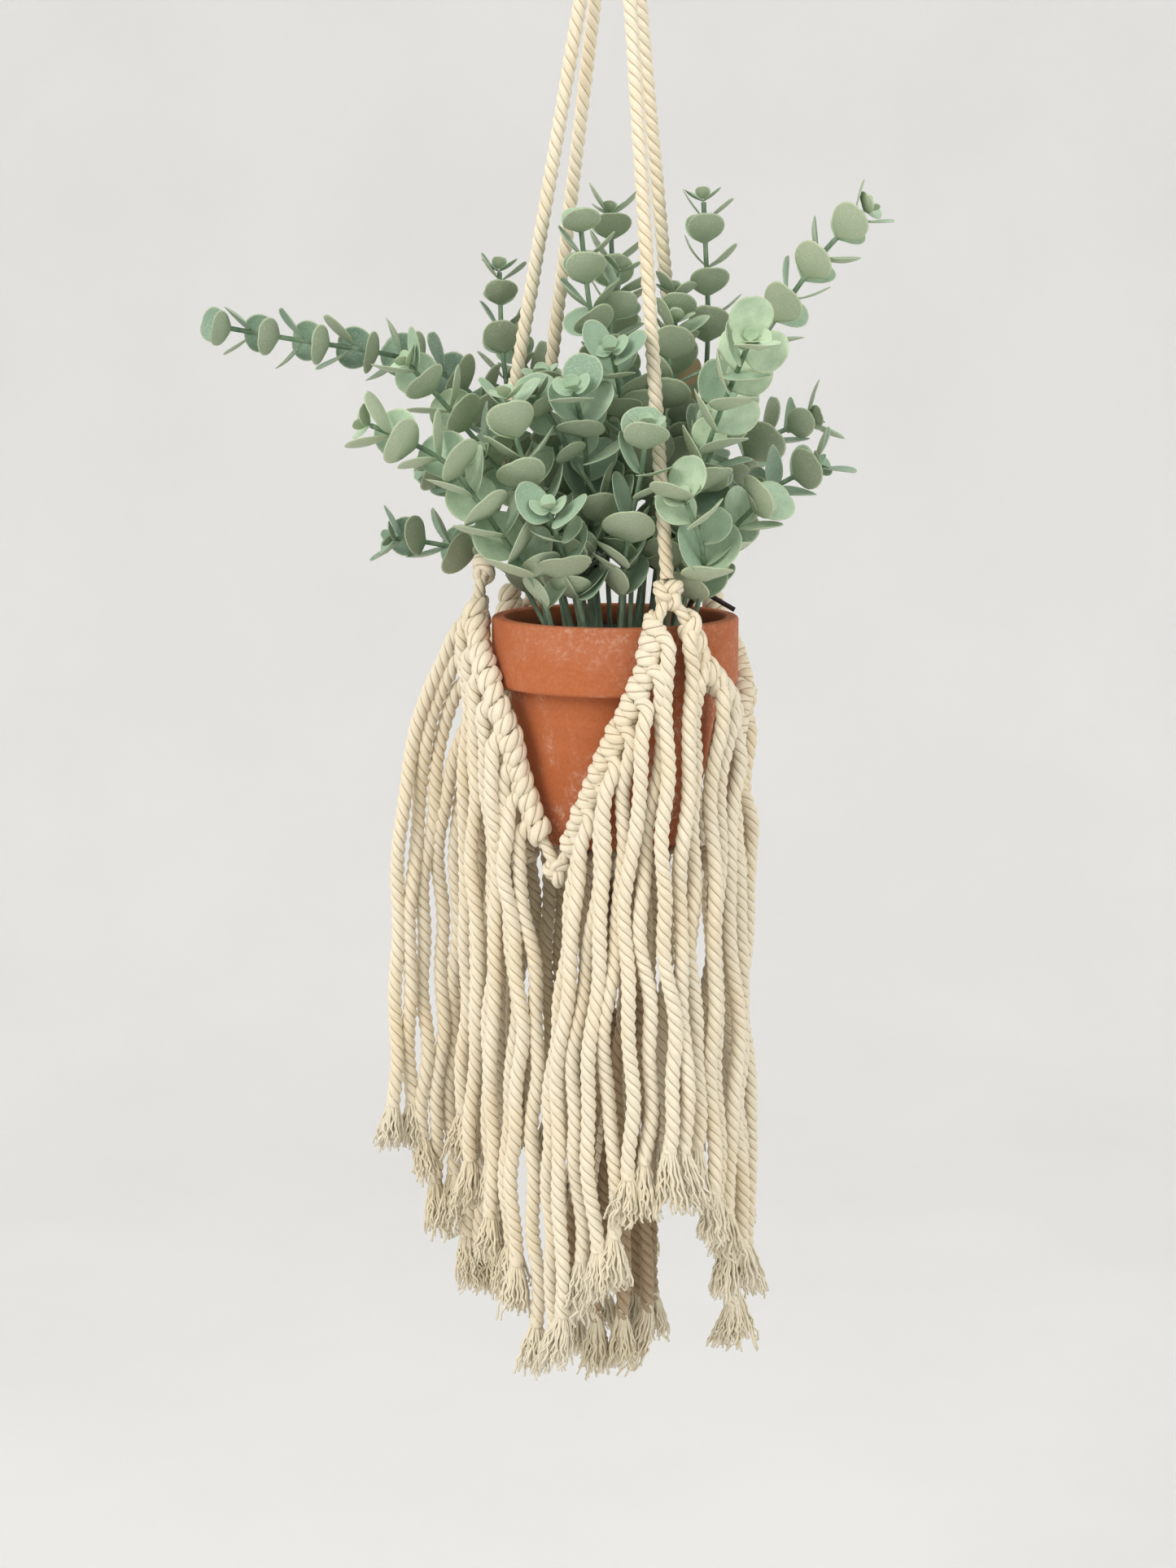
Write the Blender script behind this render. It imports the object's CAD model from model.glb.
import math
import random

import bpy
import numpy as np
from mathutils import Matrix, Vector
from mathutils.bvhtree import BVHTree


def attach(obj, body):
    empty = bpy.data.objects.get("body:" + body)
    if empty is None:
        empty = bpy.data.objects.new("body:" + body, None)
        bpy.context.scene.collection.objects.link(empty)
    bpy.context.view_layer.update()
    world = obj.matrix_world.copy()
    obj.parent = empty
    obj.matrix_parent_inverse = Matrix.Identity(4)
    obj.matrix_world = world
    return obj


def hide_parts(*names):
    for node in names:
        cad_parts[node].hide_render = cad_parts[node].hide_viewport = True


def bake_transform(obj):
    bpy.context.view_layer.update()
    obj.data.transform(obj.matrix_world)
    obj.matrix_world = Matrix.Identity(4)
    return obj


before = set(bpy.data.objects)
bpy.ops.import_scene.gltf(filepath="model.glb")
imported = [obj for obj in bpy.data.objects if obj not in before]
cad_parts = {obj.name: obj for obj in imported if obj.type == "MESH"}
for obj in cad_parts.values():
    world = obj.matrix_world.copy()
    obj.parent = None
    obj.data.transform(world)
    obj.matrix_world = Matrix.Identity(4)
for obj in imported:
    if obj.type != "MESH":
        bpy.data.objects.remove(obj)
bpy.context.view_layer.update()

# The looks of the hanging macrame planter. Points and sizes here are in millimetres, in the
# frame's axes, and MM turns them into Blender's metres where a mesh is made.
MM = 0.001

# ---- Sizes of the rope work, as in the design ----
ROPE_R = 2.75
ROPE_D = 2 * ROPE_R
CLEARANCE = 0.3
RIM_Z = -424.0
RING_TUBE_R = 4.0
RING_MEAN_R = 23.0
RING_CENTRE_Z = -(RING_MEAN_R - RING_TUBE_R)
WRAP_TOP_Z = -61.0
WRAP_HEIGHT = 31.0
WRAP_OUTER_R = 11.5
BUNDLE_R = 4.4
BUNDLE_AZIMUTHS = {"left": -72, "front": 18, "right": 108, "back": 198}
LEG_TOP_Z = -56.0
LEG_BEND_DROP = 4.0
POT_HEIGHT = 100.0
POT_MOUTH_R = 49.0
POT_RIM_HEIGHT = 30.0
FOAM_TOP = -9.0
LEG_AZIMUTHS = {"left": -92, "front": 22, "right": 142, "back": 223}
KNOT_ORBIT_R = 58.5
KNOT_R = 6.5
KNOT_HEIGHTS = {"left": 21, "front": 15, "right": 18, "back": 20}
ROW_R = 5.5
VALLEY_KNOT_R = 6.2
VALLEY_ORBIT_R = 44.0
VALLEY_Z = -109.0
VALLEYS = {"front_left": -35, "front_right": 84, "back": 182.5, "back_left": -114.5}

# Hitched rows: azimuth, distance from the axis and height, from a leg knot down to a valley
ROWS = {
    "left_front": ["left", "front_left", [
        (-85.5, 62.5, 5), (-78, 62.5, -10), (-68, 62, -20), (-60, 61.5, -32),
        (-56, 57, -47), (-55, 52.5, -63), (-53, 48.5, -79), (-45, 46, -95)]],
    "front_left": ["front", "front_left", [
        (15.5, 62.5, 5), (13, 62.5, -12), (8, 62, -28), (1, 58, -44),
        (-6, 53, -60), (-13, 49, -75), (-20, 46.5, -87), (-26, 46, -98)]],
    "front_right": ["front", "front_right", [
        (28.5, 62.5, 5), (33, 62.5, -11), (42, 62, -22), (53, 61.5, -32),
        (62, 57, -45), (68, 52, -61), (72, 48, -78), (75, 46, -95)]],
    "right_front": ["right", "front_right", [
        (135.5, 62.5, 7), (128, 62.5, -8), (118, 62, -20), (107, 61.5, -32),
        (99, 57, -46), (95, 52, -62), (93, 48, -79), (93, 46, -95)]],
    "right_back": ["right", "back", [
        (148.5, 62.5, 7), (152, 62.5, -10), (157, 62, -27), (162, 57.5, -44),
        (166, 52.5, -60), (169, 49, -75), (172, 46.5, -88), (173.5, 46, -99)]],
    "back_right": ["back", "back", [
        (216.5, 62.5, 8), (212, 62.5, -10), (207, 62, -27), (202, 57.5, -44),
        (198, 52.5, -60), (195, 49, -75), (193, 46.5, -88), (191.5, 46, -99)]],
    "back_left": ["back", "back_left", [
        (229.5, 62.5, 8), (232, 62.5, -10), (234.5, 62, -27), (236, 57.5, -45),
        (236.7, 52.5, -63), (237, 49, -78), (237, 47, -90), (236.5, 46.5, -100)]],
    "left_back": ["left", "back_left", [
        (-98.5, 62.5, 5), (-101, 62.5, -12), (-103, 62, -28), (-104.5, 57.5, -45),
        (-105.5, 52.5, -62), (-106, 49, -77), (-106, 47, -89), (-105.5, 46.5, -99)]],
}

ROPES_PER_ROW = 8
FRINGE_SPACING = 6.3
FRINGE_INNER_R = 56.0
FRINGE_MIDDLE_R = 66.0
FRINGE_MIN_STEP = 1.3
FRINGE_WEAVE = 2.4
FRINGE_INTERLEAVE = 2.0
FAN_LENGTH = 130
VALLEY_MARGIN = 5.0
SHOULDER_MIN = 16.0
SHOULDER_PER_MM = 3.6
FRINGE_DROPS = (0, 14, 36, 70, 108, 148, 188, 222)
FRINGE_UNEVEN = 9.0
UNEVEN_PER_ROPE = 2.4
UNEVEN_PER_DEGREE = 0.05
START_OUT = 0.9
START_OUT_WEAVE = 0.1
START_LOW = 0.45
START_LOW_WEAVE = 0.14
SHARE_STEP = 0.02
SWAY = 2.2
SWAY_START = 40.0
SWAY_LENGTH = 170.0
SWAY_AZIMUTH = 130.0
FLARE = 0.035

BASE_KNOT_R = 10.0
BASE_KNOT_Z = -(POT_HEIGHT + BASE_KNOT_R + CLEARANCE)
CRADLE_Z = -(POT_HEIGHT + ROPE_R + 2 * CLEARANCE)
CRADLE_MIDDLE_R = 26.0
CRADLE_SAG = 1.2
CRADLE_END_GAP = 0.5
CRADLE_END_DROP = 2.5
TAILS = 8
TAIL_FIRST_AZIMUTH = 11.0
TAIL_ORBIT_R = 8.0
TAIL_SPREAD = 11.0
TAIL_SWAY = 5.0
TAIL_LENGTH = 205.0
TAIL_RUNS = 5

# ---- Looks of the rope ----
LAY_PITCH = 15.5
RING_STEP = 0.95
STRAND_REACH = 0.40
STRAND_R = 0.62
LOBE_ANGLES = (0, 9, 24, 60, 96, 111)
HITCH_RADIAL = 0.74
HITCH_AXIAL = 1.27
ROPE_SWELL = 1.15
DUSKY = 0.1
TASSEL_TONE = 1.3
FRINGE_SWELL = 1.08
ROPE_WANDER = 1.7
WANDER_START = 30.0
UNEVEN_END = 8.0

# The cords that are declared: those that hang out furthest and those that hang lowest
DECLARED_NUMBERS = (0, 6, 7)
DECLARED_MORE = {"left_front": 1, "front_left": 1, "front_right": 1, "right_front": 1}

UP = np.array([0.0, 0.0, 1.0])


def polar(azimuth, radius, height):
    """The point at an azimuth and a distance from the axis, at a height above the rim."""
    turn = math.radians(azimuth)
    return np.array([radius * math.sin(turn), -radius * math.cos(turn), RIM_Z + height])


def unit(vector):
    """The same direction at length one."""
    return vector / np.linalg.norm(vector)


def azimuth_of(point):
    """The azimuth of a point, in degrees."""
    return math.degrees(math.atan2(point[0], -point[1]))


def near_turn(angle, target):
    """The angle plus or minus whole turns, as near to the target as it comes."""
    return angle + 360 * round((target - angle) / 360)


# ---- The ropes' routes, as in the design ----
def row_points(row):
    """The line through the middle of a hitched row."""
    return [polar(*p) for p in ROWS[row][2]]


def place_along(points, part):
    """The point at a share of a polyline's length."""
    lengths = [np.linalg.norm(b - a) for a, b in zip(points, points[1:])]
    left = part * sum(lengths)
    for a, b, length in zip(points, points[1:], lengths):
        if left <= length:
            return a + (b - a) * (left / length)
        left -= length
    return points[-1]


def leg_points(leg):
    """The leg's route: down through the wrap, then straight and taut to its knot."""
    wrap_bottom = WRAP_TOP_Z - WRAP_HEIGHT - RIM_Z
    knot = polar(LEG_AZIMUTHS[leg], KNOT_ORBIT_R, KNOT_HEIGHTS[leg])
    slot = BUNDLE_AZIMUTHS[leg]
    gather = polar(slot, BUNDLE_R, wrap_bottom - LEG_BEND_DROP)
    pull = unit(gather - knot)
    top = polar(slot, BUNDLE_R, LEG_TOP_Z - RIM_Z)
    beside = gather - pull * 6 * ROPE_D
    return [top, gather, beside, knot + pull * (KNOT_R - CLEARANCE)]


def fringe_hang(row, number):
    """The azimuth and distance from the axis where a rope hangs, and how it weaves.

    The design's tubes hang from the row's own first azimuth. The ropes close up under the leg's
    knot instead, and every other row hangs a little further out.
    """
    leg, valley, line = ROWS[row]
    first = (near_turn(LEG_AZIMUTHS[leg], line[0][0]) + line[0][0]) / 2
    last = near_turn(VALLEYS[valley], first)
    last += math.copysign(VALLEY_MARGIN, first - last)
    step = (last - first) / (ROPES_PER_ROW - 1)
    beside = abs(math.radians(step)) * FRINGE_MIDDLE_R
    outward = math.sqrt(max(FRINGE_MIN_STEP**2, FRINGE_SPACING**2 - beside**2))
    weave = FRINGE_WEAVE * (1 - outward / FRINGE_SPACING) * (-1) ** number
    radius = FRINGE_INNER_R + outward * (ROPES_PER_ROW - 1 - number) + weave
    radius += FRINGE_INTERLEAVE * (list(ROWS).index(row) % 2)
    return first + step * number, radius, weave


def row_place(row, number):
    """A rope's place on its row, and the row's own, outward and lower directions there."""
    line = row_points(row)
    share = (number + 0.5) / ROPES_PER_ROW
    centre = place_along(line, share)
    along = unit(place_along(line, share + SHARE_STEP) - place_along(line, share - SHARE_STEP))
    outward = unit(np.array([centre[0], centre[1], 0.0]))
    lower = along * along[2] - UP
    lower = unit(lower - outward * lower.dot(outward))
    return centre, along, outward, lower


def fringe_start(row, number, weave):
    """Where one rope leaves its hitch, outward of the row and on its lower side."""
    centre, along, outward, lower = row_place(row, number)
    out = outward * (START_OUT + START_OUT_WEAVE * weave)
    low = lower * (START_LOW - START_LOW_WEAVE * weave)
    return centre + unit(out + low) * (ROW_R + ROPE_R + CLEARANCE)


def fringe_points(row, number):
    """One fringe rope: out of its hitch, over the shoulder of the bundle and straight down."""
    azimuth, radius, weave = fringe_hang(row, number)
    start = fringe_start(row, number, weave)
    start_azimuth = azimuth_of(start)
    start_radius = math.hypot(start[0], start[1])
    azimuth = near_turn(azimuth, start_azimuth)
    shoulder = SHOULDER_MIN + SHOULDER_PER_MM * abs(radius - start_radius)
    phase = UNEVEN_PER_ROPE * number + UNEVEN_PER_DEGREE * azimuth
    uneven = 1 + FRINGE_UNEVEN * math.sin(phase) / FRINGE_DROPS[-1]
    points = []
    for even_drop in FRINGE_DROPS:
        drop = even_drop * uneven
        eased = 1 - (1 - min(1, drop / shoulder)) ** 2
        fanned = 1 - (1 - min(1, drop / FAN_LENGTH)) ** 2
        out = start_radius + (radius - start_radius) * eased
        out *= 1 + FLARE * (even_drop / FRINGE_DROPS[-1]) ** 2
        sway = SWAY * math.sin(2 * math.pi * (drop / SWAY_LENGTH + azimuth / SWAY_AZIMUTH))
        sway *= min(1, drop / SWAY_START)
        turn = start_azimuth + (azimuth - start_azimuth) * fanned + math.degrees(sway / out)
        points.append(polar(turn, out, start[2] - RIM_Z - drop))
    return points


def cradle_points(valley, side):
    """One of the two ropes from a valley knot, in under the pot, to the base knot."""
    azimuth = VALLEYS[valley]
    apart = side * (ROPE_R + CLEARANCE)
    across = polar(azimuth + 90, apart, 0) - polar(0, 0, 0)
    inner = polar(azimuth, BASE_KNOT_R + CRADLE_END_GAP, BASE_KNOT_Z + CRADLE_END_DROP)
    middle = polar(azimuth, CRADLE_MIDDLE_R, CRADLE_Z - CRADLE_SAG)
    outer = polar(azimuth, VALLEY_ORBIT_R - VALLEY_KNOT_R + CLEARANCE, CRADLE_Z)
    return [outer + across, middle + across, inner + across]


def tail_points(number):
    """One rope end that hangs from the base knot, behind the fringe."""
    azimuth = 360.0 * number / TAILS + TAIL_FIRST_AZIMUTH
    points = []
    for run in range(TAIL_RUNS + 1):
        drop = TAIL_LENGTH * run / TAIL_RUNS
        spread = TAIL_ORBIT_R + TAIL_SPREAD * (1 - (1 - drop / TAIL_LENGTH) ** 2)
        sway = TAIL_SWAY * math.sin(2 * math.pi * drop / SWAY_LENGTH)
        height = BASE_KNOT_Z - BASE_KNOT_R + 2 * CLEARANCE - drop
        points.append(polar(azimuth + sway, spread, height))
    return points


def smooth_line(points, step=RING_STEP):
    """Points at even steps along the smooth NURBS line that the route's points control."""
    curve = bpy.data.curves.new("route", "CURVE")
    curve.dimensions = "3D"
    spline = curve.splines.new("NURBS")
    spline.points.add(len(points) - 1)
    for place, point in zip(spline.points, points):
        place.co = (*[float(x) * MM for x in point], 1.0)
    spline.order_u = 3
    spline.use_endpoint_u = True
    spline.resolution_u = 24
    carrier = bpy.data.objects.new("route", curve)
    mesh = bpy.data.meshes.new_from_object(carrier)
    read = np.array([v.co[:] for v in mesh.vertices], float) / MM
    bpy.data.objects.remove(carrier)
    bpy.data.curves.remove(curve)
    bpy.data.meshes.remove(mesh)
    return evenly(read, step)


def evenly(line, step):
    """The line again, with its points at even steps."""
    gaps = np.linalg.norm(np.diff(line, axis=0), axis=1)
    run = np.concatenate([[0.0], np.cumsum(gaps)])
    count = max(4, int(round(run[-1] / step)) + 1)
    places = np.linspace(0.0, run[-1], count)
    return np.stack([np.interp(places, run, line[:, axis]) for axis in range(3)], axis=1)


def wandered(line, seed):
    """The line with slow, small bends of its own, none at its start, and its end cut uneven."""
    chance = random.Random(seed)
    run = np.arange(len(line)) * RING_STEP
    grown = np.minimum(1.0, run / WANDER_START)[:, None]
    _, sides, others = directions(line)
    shifts = []
    for _ in range(2):
        long_wave = np.sin(run / chance.uniform(17, 26) + chance.uniform(0, 6.28))
        short_wave = np.sin(run / chance.uniform(7, 11) + chance.uniform(0, 6.28))
        shifts.append((0.8 * long_wave + 0.45 * short_wave)[:, None] * ROPE_WANDER)
    moved = line + grown * (sides * shifts[0] + others * shifts[1])
    return moved[:len(moved) - chance.randrange(int(UNEVEN_END / RING_STEP))]


# ---- Meshes ----
class Surface:
    """Vertices and faces of one piece, with what its material reads at each vertex."""

    def __init__(self):
        self.vertices, self.quads, self.triangles = [], [], []
        self.lay, self.tone = [], []
        self.count = 0

    def add(self, vertices, quads, triangles, lay, tone):
        """One more shell: its points, faces, lay (three numbers) and tone (one number)."""
        self.vertices.append(vertices)
        self.quads.append(np.asarray(quads, int).reshape(-1, 4) + self.count)
        self.triangles.append(np.asarray(triangles, int).reshape(-1, 3) + self.count)
        self.lay.append(lay)
        self.tone.append(tone)
        self.count += len(vertices)

    def piece(self, name, material, body, slot):
        """The Blender object of all the shells, riding on its body."""
        vertices = np.concatenate(self.vertices) * MM
        quads = np.concatenate(self.quads)
        triangles = np.concatenate(self.triangles)
        corners = np.concatenate([quads.ravel(), triangles.ravel()])
        starts = np.concatenate([
            np.arange(len(quads)) * 4,
            len(quads) * 4 + np.arange(len(triangles)) * 3,
        ])
        mesh = bpy.data.meshes.new(name)
        mesh.vertices.add(len(vertices))
        mesh.vertices.foreach_set("co", vertices.astype(np.float32).ravel())
        mesh.loops.add(len(corners))
        mesh.loops.foreach_set("vertex_index", corners.astype(np.int32))
        mesh.polygons.add(len(starts))
        mesh.polygons.foreach_set("loop_start", starts.astype(np.int32))
        mesh.update(calc_edges=True)
        mesh.polygons.foreach_set("use_smooth", np.ones(len(starts), bool))
        lay = mesh.attributes.new("lay", "FLOAT_VECTOR", "POINT")
        lay.data.foreach_set("vector", np.concatenate(self.lay).astype(np.float32).ravel())
        tone = mesh.attributes.new("tone", "FLOAT", "POINT")
        tone.data.foreach_set("value", np.concatenate(self.tone).astype(np.float32))
        mesh.materials.append(material)
        made = bpy.data.objects.new(name, mesh)
        bpy.context.scene.collection.objects.link(made)
        if body is not None:
            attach(made, body)
        return made


def directions(line, outward=None):
    """The tangent and two side directions at each point of a line."""
    tangents = np.gradient(line, axis=0)
    tangents /= np.linalg.norm(tangents, axis=1)[:, None]
    if outward is None:
        helper = np.array([1.0, 0.0, 0.0]) if abs(tangents[0][0]) < 0.9 else UP
        side = unit(np.cross(tangents[0], helper))
        sides = []
        for tangent in tangents:
            side = unit(side - tangent * side.dot(tangent))
            sides.append(side)
        sides = np.array(sides)
    else:
        sides = outward - tangents * np.sum(outward * tangents, axis=1)[:, None]
        sides /= np.linalg.norm(sides, axis=1)[:, None]
    return tangents, sides, np.cross(tangents, sides)


def strand_profile():
    """The outline of three strands laid side by side: angles, reaches and depths."""
    angles, reaches, depths = [], [], []
    for lobe in range(3):
        for place in LOBE_ANGLES:
            off = math.radians(place - 60)
            lift = math.sqrt(STRAND_R**2 - (STRAND_REACH * math.sin(off)) ** 2)
            angles.append(math.radians(120 * lobe + place))
            reaches.append(STRAND_REACH * math.cos(off) + lift)
            depths.append(1 - (abs(place - 60) / 60) ** 3 if place else 0.0)
    return np.array(angles), np.array(reaches), np.array(depths)


PROFILE = strand_profile()


def tube_faces(rings, sides):
    """The quads of a tube of rings, and the triangles that close its ends."""
    ring = np.arange(rings - 1)[:, None] * sides
    here = np.arange(sides)[None, :]
    after = (here + 1) % sides
    quads = np.stack([ring + here, ring + after, ring + sides + after, ring + sides + here], axis=2)
    first, last = rings * sides, rings * sides + 1
    edge = np.arange(sides)
    following = (edge + 1) % sides
    foot = (rings - 1) * sides
    start_cap = np.stack([np.full(sides, first), following, edge], axis=1)
    end_cap = np.stack([np.full(sides, last), foot + edge, foot + following], axis=1)
    return quads.reshape(-1, 4), np.concatenate([start_cap, end_cap])


def add_rope(surface, line, seed, radius=ROPE_R, outward=None, flat=(1, 1), pitch=LAY_PITCH,
             shade=1.0):
    """A three-strand laid rope along a line; its strands turn about the line."""
    chance = random.Random(seed)
    angles, reaches, depths = PROFILE
    _, sides, others = directions(line, outward)
    gaps = np.linalg.norm(np.diff(line, axis=0), axis=1)
    run = np.concatenate([[0.0], np.cumsum(gaps)])
    slow, quick = chance.uniform(0, 6.28), chance.uniform(0, 6.28)
    uneven = 0.16 * np.sin(run / 9.0 + slow) + 0.10 * np.sin(run / 3.7 + quick)
    twist = chance.uniform(0, 6.28) - 2 * math.pi * (run + 2.0 * uneven) / pitch
    swell = ROPE_SWELL + 0.10 * uneven
    turn = angles[None, :] + twist[:, None]
    reach = reaches[None, :] * swell[:, None] * radius
    offset = sides[:, None, :] * (np.cos(turn) * reach * flat[0])[:, :, None]
    offset = offset + others[:, None, :] * (np.sin(turn) * reach * flat[1])[:, :, None]
    vertices = (line[:, None, :] + offset).reshape(-1, 3)
    rings, count = len(line), len(angles)
    quads, triangles = tube_faces(rings, count)
    around = np.stack([np.cos(angles), np.sin(angles)], axis=1) * radius
    lay = np.empty((rings, count, 3))
    lay[:, :, :2] = around[None, :, :]
    lay[:, :, 2] = run[:, None] + chance.uniform(0, 500)
    tone = np.tile(depths, rings) * shade
    ends = np.stack([line[0], line[-1]])
    surface.add(
        np.concatenate([vertices, ends]), quads, triangles,
        np.concatenate([lay.reshape(-1, 3), lay[0, :2, :]]),
        np.concatenate([tone, [0.3, 0.3]]),
    )


def add_threads(surface, paths, widths, seed):
    """Many fine threads at once: paths is threads by points by 3, widths the same by 1."""
    chance = np.random.default_rng(seed)
    threads, points = paths.shape[:2]
    tangents = np.gradient(paths, axis=1)
    tangents /= np.linalg.norm(tangents, axis=2)[:, :, None]
    helper = np.where(np.abs(tangents[:, :, :1]) < 0.9, [[[1.0, 0, 0]]], [[[0, 1.0, 0]]])
    side = np.cross(tangents, helper)
    side /= np.linalg.norm(side, axis=2)[:, :, None]
    other = np.cross(tangents, side)
    quads, triangles = tube_faces(points, 4)
    marks = chance.uniform(0, 500, (threads, 1))
    for thread in range(threads):
        turn = np.arange(4) * math.pi / 2
        ring = side[thread][:, None, :] * np.cos(turn)[None, :, None]
        ring = ring + other[thread][:, None, :] * np.sin(turn)[None, :, None]
        ring = paths[thread][:, None, :] + ring * widths[thread][:, None, None]
        ends = paths[thread][[0, -1]]
        along = np.arange(points)[:, None] * np.ones((1, 4)) * 2.0
        lay = np.stack([
            np.cos(turn)[None, :] * np.ones((points, 1)),
            np.sin(turn)[None, :] * np.ones((points, 1)),
            along + marks[thread],
        ], axis=2).reshape(-1, 3)
        tone = np.full(points * 4 + 2, TASSEL_TONE * (0.85 + 0.15 * (marks[thread][0] % 1.0)))
        surface.add(
            np.concatenate([ring.reshape(-1, 3), ends]), quads, triangles,
            np.concatenate([lay, lay[:2]]), tone,
        )


# ---- Frayed ends ----
TASSEL_THREADS = 60
TASSEL_POINTS = 10
TASSEL_INSIDE = 5.0


def add_tassel(surface, line, seed, length=25.0, spread=9.5):
    """A rope's end come apart into its threads, which flare and curl."""
    chance = np.random.default_rng(seed)
    length *= chance.uniform(0.8, 1.15)
    spread *= chance.uniform(0.8, 1.15)
    end = line[-1]
    down = unit(unit(line[-1] - line[-6]) * 0.5 - UP * 0.8)
    side = unit(np.cross(down, np.array([0.3, 1.0, 0.1])))
    other = np.cross(down, side)
    number = np.arange(TASSEL_THREADS)
    turn = number * 2.39996 + chance.normal(0, 0.25, TASSEL_THREADS)
    share = np.sqrt((number + 0.5) / TASSEL_THREADS)
    bend = side * chance.normal(0, 0.09) + other * chance.normal(0, 0.09)
    along = np.linspace(0, 1, TASSEL_POINTS)
    reach = length * chance.uniform(0.62, 1.04, TASSEL_THREADS)
    drop = -TASSEL_INSIDE + along[None, :] * (reach[:, None] + TASSEL_INSIDE)
    open_share = np.clip(drop / length, 0, 1.2) ** 0.75
    out = share[:, None] * (ROPE_R * 0.86 + (spread - ROPE_R) * open_share)
    curl = chance.uniform(0.35, 1.1, (TASSEL_THREADS, 1)) * np.clip(drop / 6.0, 0, 1)
    phase = chance.uniform(0, 6.28, (TASSEL_THREADS, 1))
    rate = chance.uniform(0.7, 1.25, (TASSEL_THREADS, 1))
    out = out + curl * 0.75 * np.sin(drop * rate + phase)
    wander = turn[:, None] + curl * 0.22 * np.cos(drop * rate * 0.8 + phase)
    wander = wander - 0.9 * np.clip(drop, -TASSEL_INSIDE, 0) / ROPE_R * 0.35
    radial = side[None, None] * np.cos(wander)[:, :, None]
    radial = radial + other[None, None] * np.sin(wander)[:, :, None]
    paths = end + down * drop[:, :, None] + radial * out[:, :, None]
    paths = paths + bend * (np.clip(drop, 0, None) ** 1.4)[:, :, None] * 0.35
    widths = np.linspace(0.66, 0.46, TASSEL_POINTS)[None, :]
    widths = widths * chance.uniform(0.75, 1.2, (TASSEL_THREADS, 1))
    add_threads(surface, paths, widths, seed + 7)


# ---- Materials ----
class Nodes:
    """A short way to build a material's node tree."""

    def __init__(self, name):
        self.material = bpy.data.materials.new(name)
        self.material.use_nodes = True
        self.tree = self.material.node_tree
        self.shader = self.tree.nodes["Principled BSDF"]
        self.output = self.tree.nodes["Material Output"]

    def node(self, kind, inputs=None, **settings):
        """A node of a kind, with its settings, its input values and its links."""
        made = self.tree.nodes.new(kind)
        for key, value in settings.items():
            setattr(made, key, value)
        for key, value in (inputs or {}).items():
            if isinstance(value, bpy.types.NodeSocket):
                self.tree.links.new(value, made.inputs[key])
            else:
                made.inputs[key].default_value = value
        return made

    def attribute(self, name, output="Vector"):
        """A mesh attribute."""
        return self.node("ShaderNodeAttribute", attribute_name=name).outputs[output]

    def place(self):
        """The point on the object, in metres in the frame's axes."""
        return self.node("ShaderNodeTexCoord").outputs["Object"]

    def noise(self, vector, scale, detail=2.0, roughness=0.5, stretch=(1, 1, 1), warp=0.0):
        """Noise from 0 to 1 at so many features per unit."""
        moved = self.node("ShaderNodeMapping", {"Vector": vector, "Scale": stretch})
        inputs = {"Vector": moved.outputs[0], "Scale": scale, "Detail": detail}
        inputs.update({"Roughness": roughness, "Distortion": warp})
        return self.node("ShaderNodeTexNoise", inputs).outputs[0]

    def ramp(self, value, stops):
        """A colour ramp of (place, colour) stops."""
        made = self.node("ShaderNodeValToRGB", {"Fac": value})
        elements = made.color_ramp.elements
        while len(elements) < len(stops):
            elements.new(0.5)
        for element, (place, colour) in zip(elements, stops):
            element.position = place
            element.color = (*colour, 1.0)
        return made.outputs[0]

    def fit(self, value, low, high, to_low=0.0, to_high=1.0):
        """The value from low to high, spread from to_low to to_high."""
        inputs = {"Value": value, "From Min": low, "From Max": high}
        inputs.update({"To Min": to_low, "To Max": to_high})
        return self.node("ShaderNodeMapRange", inputs).outputs[0]

    def math(self, operation, first, second=0.0):
        """One sum."""
        made = self.node("ShaderNodeMath", {0: first, 1: second}, operation=operation)
        return made.outputs[0]

    def mix(self, share, first, second, blend="MIX"):
        """Two colours mixed."""
        made = self.node("ShaderNodeMix", data_type="RGBA", blend_type=blend)
        for key, value in ((0, share), (6, first), (7, second)):
            if isinstance(value, bpy.types.NodeSocket):
                self.tree.links.new(value, made.inputs[key])
            else:
                made.inputs[key].default_value = value
        return made.outputs[2]

    def bump(self, height, strength, distance, under=None):
        """A bump, laid over another."""
        inputs = {"Height": height, "Strength": strength, "Distance": distance}
        if under is not None:
            inputs["Normal"] = under
        return self.node("ShaderNodeBump", inputs).outputs[0]

    def finish(self, colour, roughness, normal=None, **sockets):
        """Links the shader and sets its plain numbers."""
        for key, value in (("Base Color", colour), ("Roughness", roughness), ("Normal", normal)):
            if isinstance(value, bpy.types.NodeSocket):
                self.tree.links.new(value, self.shader.inputs[key])
            elif value is not None:
                self.shader.inputs[key].default_value = value
        for key, value in sockets.items():
            self.shader.inputs[key.replace("_", " ")].default_value = value
        return self.material


def colour(red, green, blue):
    """A colour given as a screen shows it, from 0 to 255, as light values."""
    light = [((c / 255 + 0.055) / 1.055) ** 2.4 if c > 10 else c / 255 / 12.92
             for c in (red, green, blue)]
    return tuple(light)


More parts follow.
